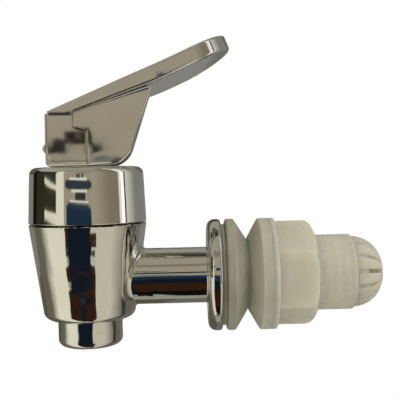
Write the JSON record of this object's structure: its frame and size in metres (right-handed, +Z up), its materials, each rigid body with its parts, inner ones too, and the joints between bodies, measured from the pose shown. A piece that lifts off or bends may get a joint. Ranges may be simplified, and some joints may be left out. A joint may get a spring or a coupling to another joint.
{
  "type": "beverage dispenser spigot",
  "caption": "Lever tap for a drinks dispenser: chromed body, nozzle and paddle lever on a hollow threaded shank with cone washers, hex nut and slotted strainer cap.",
  "frame": {"origin": "on the shank's axis, at the back face of the flange that seats against the vessel wall", "axes": "+X along the shank into the vessel, +Z up, the nozzle points to -Z"},
  "size_m": [0.0936, 0.0336, 0.0811],
  "materials": {
    "chrome_plate": "bright chrome plating on moulded plastic",
    "white_plastic": "milky translucent moulded plastic",
    "silicone": "milky translucent silicone",
    "steel": "plain stainless steel",
    "stem_plastic": "smooth moulded plastic"
  },
  "bodies": {
    "tap_body": {"valve_body": "chrome_plate", "bonnet": "chrome_plate", "seat_cup": "silicone", "threaded_shank": "white_plastic", "flange_gasket": "silicone", "outer_washer": "silicone", "inner_washer": "silicone", "shank_nut": "white_plastic", "strainer_cap": "white_plastic"},
    "spring_pack": {"return_spring": "steel", "spring_washer": "steel"},
    "stem": {"valve_stem": "stem_plastic", "lever_pin": "steel"},
    "lever": {"lever": "chrome_plate"}
  },
  "joints": [
    {"name": "lever_swivel", "type": "hinge", "parent": "tap_body", "child": "spring_pack", "pos_m": [-0.0352, 0, 0.0294], "axis": [0, 0, 1], "continuous": true},
    {"name": "stem_lift", "type": "slide", "parent": "spring_pack", "child": "stem", "axis": [0, 0, 1], "range_m": [0, 0.0024], "stiffness_N_per_m": 400, "springref_m": -0.006, "deforming": ["return_spring", "seat_cup"]},
    {"name": "lever_press", "type": "hinge", "parent": "stem", "child": "lever", "pos_m": [-0.0352, 0, 0.0358], "axis": [-0.0785, 0.9969, 0], "range_deg": [0, 22], "stiffness_Nm_per_rad": 0.002, "springref_deg": -56.15}
  ],
  "couplings": [
    {"joint": "lever_press", "follows": "stem_lift", "rad_per_m": 158.73}
  ]
}
